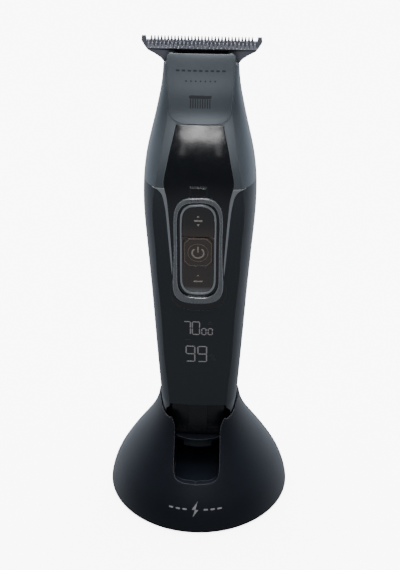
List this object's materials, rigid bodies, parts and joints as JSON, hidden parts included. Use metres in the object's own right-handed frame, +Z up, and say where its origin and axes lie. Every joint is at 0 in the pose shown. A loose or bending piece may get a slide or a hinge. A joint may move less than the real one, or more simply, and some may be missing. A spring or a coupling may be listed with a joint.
{
  "type": "beard trimmer",
  "caption": "Cordless T-blade beard trimmer with lit number display and switch panel, standing in a round bell-shaped charging dock with a front slot.",
  "frame": {"origin": "centre of the dock's underside, at the level of its feet", "axes": "+Z up along the trimmer, -Y out of the switch side, +X to the right seen from the switch side"},
  "size_m": [0.07, 0.07, 0.1828],
  "materials": {
    "gunmetal": "satin metallic",
    "blade_steel": "ground steel",
    "gloss_black": "gloss",
    "satin_black": "satin",
    "dock_black": "fine matte",
    "silver_trim": "satin chrome",
    "bronze_lens": "smoked gloss",
    "inner_plastic": "matte",
    "white_nylon": "matte",
    "motor_steel": "zinc plated",
    "magnet": "matt",
    "copper": "enamelled",
    "brass": "plain",
    "gold_contact": "gold plated",
    "screw_steel": "plain",
    "spring_steel": "plain",
    "cell_wrap": "shrink film",
    "pcb": "solder mask",
    "display": "gloss",
    "ballast_steel": "plain",
    "rubber": "matte"
  },
  "bodies": {
    "dock": {"dock_shell": "dock_black", "dock_cradle": "dock_black", "dock_contact_block": "satin_black", "contact_barrels": "brass", "dock_base_plate": "dock_black", "dock_ballast": "ballast_steel", "dock_pcb": "pcb", "dock_power_inlet": "motor_steel", "dock_feet": "rubber", "dock_screws": "screw_steel"},
    "trimmer": {"head_shell": "gunmetal", "blade_mount": "inner_plastic", "fixed_blade": "blade_steel", "blade_screws": "screw_steel", "blade_spring": "spring_steel", "spine_panel": "gloss_black", "spine_trim": "silver_trim", "switch_bezel": "silver_trim", "lens_frame": "silver_trim", "switch_lens": "bronze_lens", "fascia_panel": "satin_black", "front_housing": "satin_black", "rear_housing": "satin_black", "end_cap": "satin_black", "charge_pads": "gold_contact", "display_module": "display", "main_pcb": "pcb", "tact_switches": "inner_plastic", "battery_cell": "cell_wrap", "battery_tabs": "motor_steel", "chassis": "inner_plastic", "motor_can": "motor_steel", "motor_magnets": "magnet", "motor_end_bell": "inner_plastic", "motor_bushings": "brass", "motor_bracket": "inner_plastic", "motor_screws": "screw_steel", "head_screws": "screw_steel"},
    "cutter": {"moving_blade": "blade_steel", "cutter_yoke": "white_nylon"},
    "rotor": {"rotor_core": "copper", "motor_shaft": "motor_steel", "commutator": "brass", "eccentric_cam": "white_nylon"},
    "button": {"power_button": "bronze_lens"},
    "rocker": {"speed_rocker": "bronze_lens"},
    "pin_left": {"contact_pin_left": "gold_contact"},
    "pin_right": {"contact_pin_right": "gold_contact"}
  },
  "joints": [
    {"name": "trimmer_lift", "type": "slide", "parent": "dock", "child": "trimmer", "axis": [0, 0, 1], "range_m": [0, 0.06]},
    {"name": "cutter_slide", "type": "slide", "parent": "trimmer", "child": "cutter", "axis": [1, 0, 0], "range_m": [-0.00085, 0.00085]},
    {"name": "motor_spin", "type": "hinge", "parent": "trimmer", "child": "rotor", "pos_m": [0, 0, 0.12], "axis": [0, 0, 1], "continuous": true},
    {"name": "power_button_press", "type": "slide", "parent": "trimmer", "child": "button", "axis": [0, 1, 0], "range_m": [0, 0.00045], "stiffness_N_per_m": 1200},
    {"name": "speed_rocker_tilt", "type": "hinge", "parent": "trimmer", "child": "rocker", "pos_m": [0, -0.0168, 0.125], "axis": [1, 0, 0], "range_deg": [-3, 3], "stiffness_Nm_per_rad": 0.05},
    {"name": "pin_left_press", "type": "slide", "parent": "dock", "child": "pin_left", "axis": [0, 0, -1], "range_m": [0, 0.0005], "stiffness_N_per_m": 300},
    {"name": "pin_right_press", "type": "slide", "parent": "dock", "child": "pin_right", "axis": [0, 0, -1], "range_m": [0, 0.0005], "stiffness_N_per_m": 300}
  ]
}
